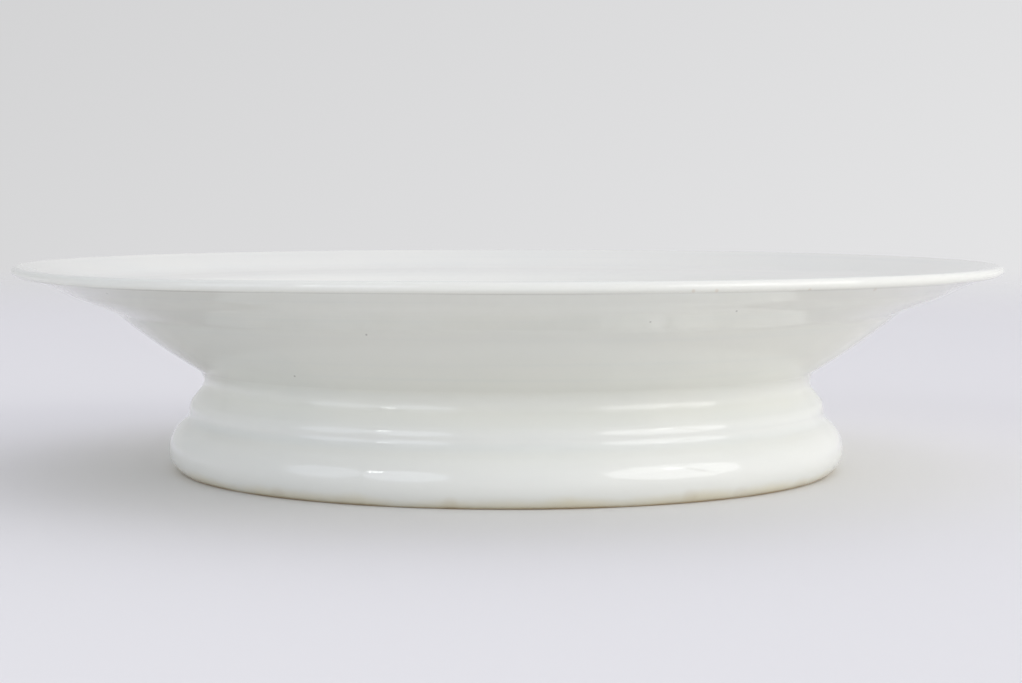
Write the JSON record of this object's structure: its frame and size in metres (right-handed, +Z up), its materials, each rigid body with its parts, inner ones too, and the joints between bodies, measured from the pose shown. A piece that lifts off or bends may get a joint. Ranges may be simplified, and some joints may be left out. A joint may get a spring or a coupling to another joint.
{
  "type": "footed plate",
  "caption": "Round white glazed ceramic plate with a sloping rim and shallow well, raised on a low hollow moulded foot, for serving cake or fruit.",
  "frame": {"origin": "centre of the standing ring, in the plane of the surface that the plate stands on", "axes": "+Z up along the turning axis; the object is round, and -Y is the side that faces the viewer"},
  "size_m": [0.22, 0.22, 0.046],
  "materials": {
    "plate_glaze": "glossy clear glaze on a white body, faintly grey-green where it lies thick, with fine turning marks and a few iron specks",
    "foot_glaze": "the same glaze, pooled in the groove, with a bare tan standing ring stained brown by use",
    "fired_slip": "fired white slip under the glaze"
  },
  "bodies": {
    "root": {"plate": "plate_glaze", "foot": "foot_glaze", "luting_slip": "fired_slip"}
  },
  "joints": []
}
